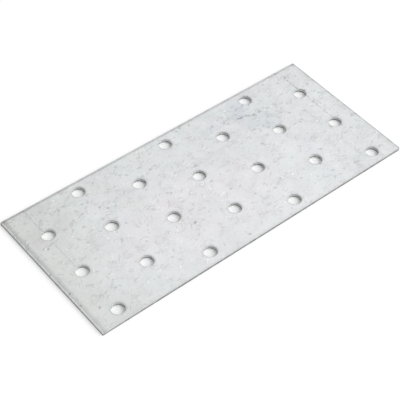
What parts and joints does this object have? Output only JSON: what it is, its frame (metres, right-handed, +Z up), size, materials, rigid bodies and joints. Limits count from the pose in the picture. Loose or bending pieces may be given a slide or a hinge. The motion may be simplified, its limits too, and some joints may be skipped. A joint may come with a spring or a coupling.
{
  "type": "perforated mending plate",
  "caption": "Flat rectangular strip of galvanised sheet steel with staggered rows of round nail holes, for joining timbers side by side or end to end.",
  "frame": {"origin": "middle of the underside, which is the back face", "axes": "+X along the length, +Y across the width, +Z up out of the face that the nail heads bear on"},
  "size_m": [0.14, 0.06, 0.0015],
  "materials": {
    "galvanised_steel": "galvanised, satin, pale grey with a faint fine spangle"
  },
  "bodies": {
    "root": {"mending_plate": "galvanised_steel"}
  },
  "joints": []
}
